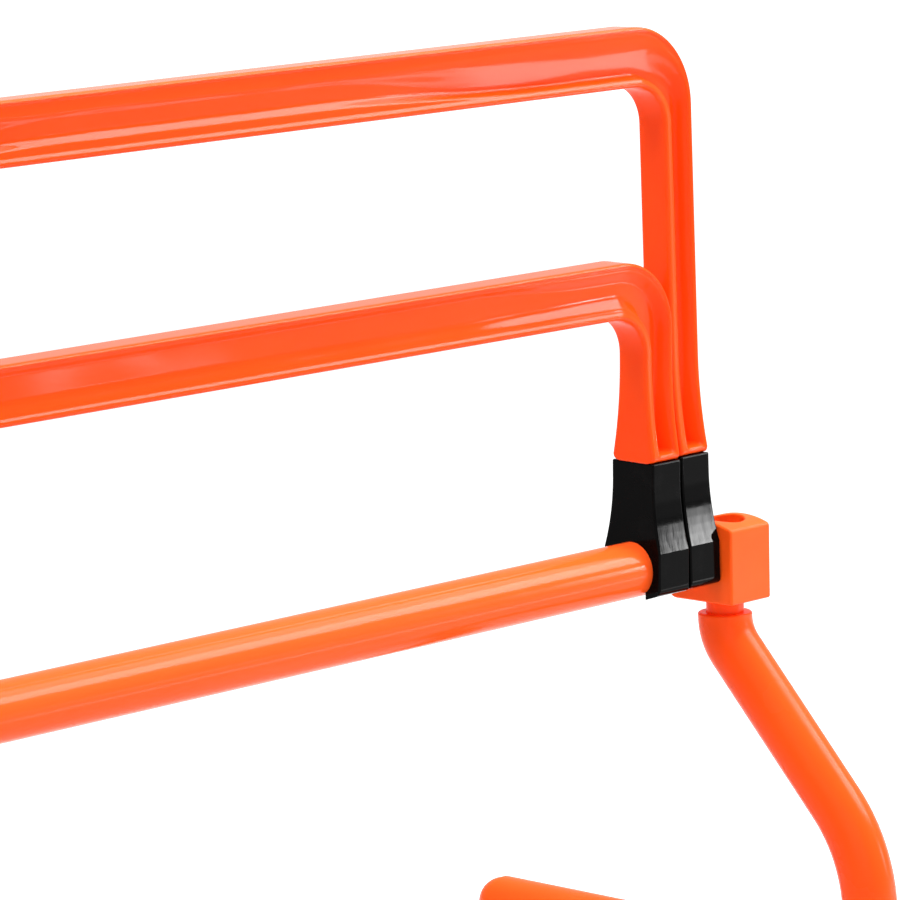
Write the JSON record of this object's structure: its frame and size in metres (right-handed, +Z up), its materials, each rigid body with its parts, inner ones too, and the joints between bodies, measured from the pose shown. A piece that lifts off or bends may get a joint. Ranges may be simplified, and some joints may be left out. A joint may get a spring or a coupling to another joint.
{
  "type": "folding speed hurdle",
  "caption": "Folding speed training hurdle: a round bar on bent swivelling legs, with U frames that flip up on snap clips to set the jump height.",
  "frame": {"origin": "on the floor at the centre of the footprint, midway between the legs", "axes": "+X along the bar towards the right-hand leg, +Y the way the feet point, +Z up"},
  "size_m": [0.4796, 0.178, 0.3146],
  "materials": {
    "orange_plastic": "glossy moulded orange",
    "black_plastic": "glossy moulded black",
    "screw_steel": "zinc plated"
  },
  "bodies": {
    "base": {"base_bar": "orange_plastic", "corner_block_left": "orange_plastic", "corner_block_right": "orange_plastic", "bar_screw_left": "screw_steel", "bar_screw_right": "screw_steel"},
    "leg_left_body": {"leg_left": "orange_plastic", "foot_plug_left": "orange_plastic", "pivot_screw_left": "screw_steel", "pivot_washer_left": "screw_steel"},
    "leg_right_body": {"leg_right": "orange_plastic", "foot_plug_right": "orange_plastic", "pivot_screw_right": "screw_steel", "pivot_washer_right": "screw_steel"},
    "mid_frame_body": {"mid_frame": "orange_plastic", "mid_clip_left": "black_plastic", "mid_clip_right": "black_plastic", "mid_clip_screw_left": "screw_steel", "mid_clip_screw_right": "screw_steel"},
    "top_frame_body": {"top_frame": "orange_plastic", "top_clip_left": "black_plastic", "top_clip_right": "black_plastic", "top_clip_screw_left": "screw_steel", "top_clip_screw_right": "screw_steel"}
  },
  "joints": [
    {"name": "mid_frame_flip", "type": "hinge", "parent": "base", "child": "mid_frame_body", "pos_m": [0, -0.0162, 0.141], "axis": [1, 0, 0], "range_deg": [-180, 180]},
    {"name": "top_frame_flip", "type": "hinge", "parent": "base", "child": "top_frame_body", "pos_m": [0, -0.0162, 0.141], "axis": [1, 0, 0], "range_deg": [-140, 140]},
    {"name": "left_leg_swivel", "type": "hinge", "parent": "base", "child": "leg_left_body", "pos_m": [-0.23, -0.0207, 0.126], "axis": [0, 0, 1], "range_deg": [-90, 0]},
    {"name": "right_leg_swivel", "type": "hinge", "parent": "base", "child": "leg_right_body", "pos_m": [0.23, -0.0207, 0.126], "axis": [0, 0, 1], "range_deg": [0, 90]}
  ]
}
